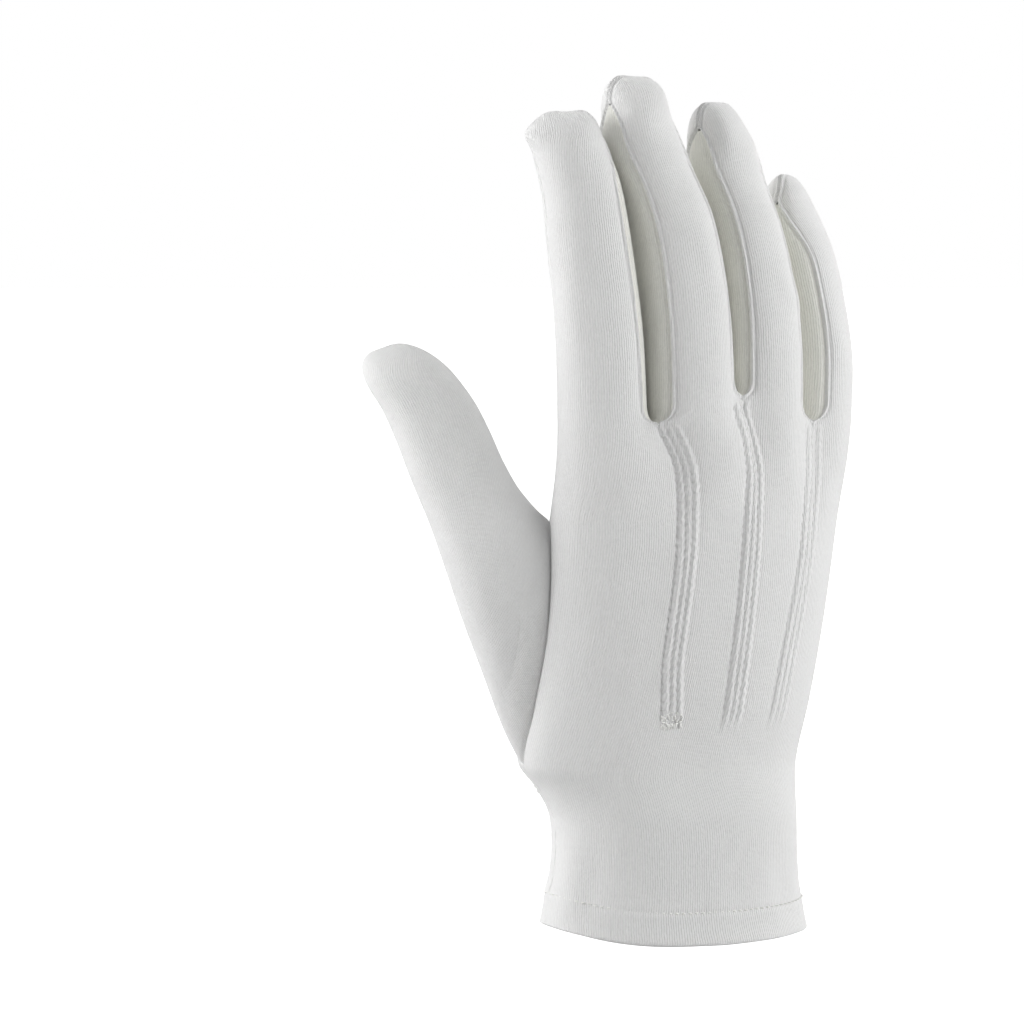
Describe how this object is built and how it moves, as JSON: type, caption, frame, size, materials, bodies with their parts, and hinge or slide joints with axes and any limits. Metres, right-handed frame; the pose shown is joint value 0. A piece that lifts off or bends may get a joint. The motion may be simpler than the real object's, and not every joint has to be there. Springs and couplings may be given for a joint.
{
  "type": "white cotton dress glove",
  "caption": "White cotton dress glove for a right hand, worn shape, open at the cuff, with three raised points on the back.",
  "frame": {"origin": "centre of the cuff opening, at the lowest point of the rim", "axes": "+Z towards the fingertips, +X towards the little finger's side, +Y towards the palm side"},
  "size_m": [0.1357, 0.0684, 0.24],
  "materials": {
    "white_knit": "fine white cotton knit, matt, slightly fuzzy",
    "fourchette_knit": "the same white knit between the fingers",
    "elastic": "white woven elastic"
  },
  "bodies": {
    "root": {"back_panel": "white_knit", "palm_panel": "white_knit", "fourchette_index_middle": "fourchette_knit", "fourchette_middle_ring": "fourchette_knit", "fourchette_ring_little": "fourchette_knit", "thumb": "white_knit", "cuff_hem": "white_knit", "wrist_elastic": "elastic"}
  },
  "joints": []
}
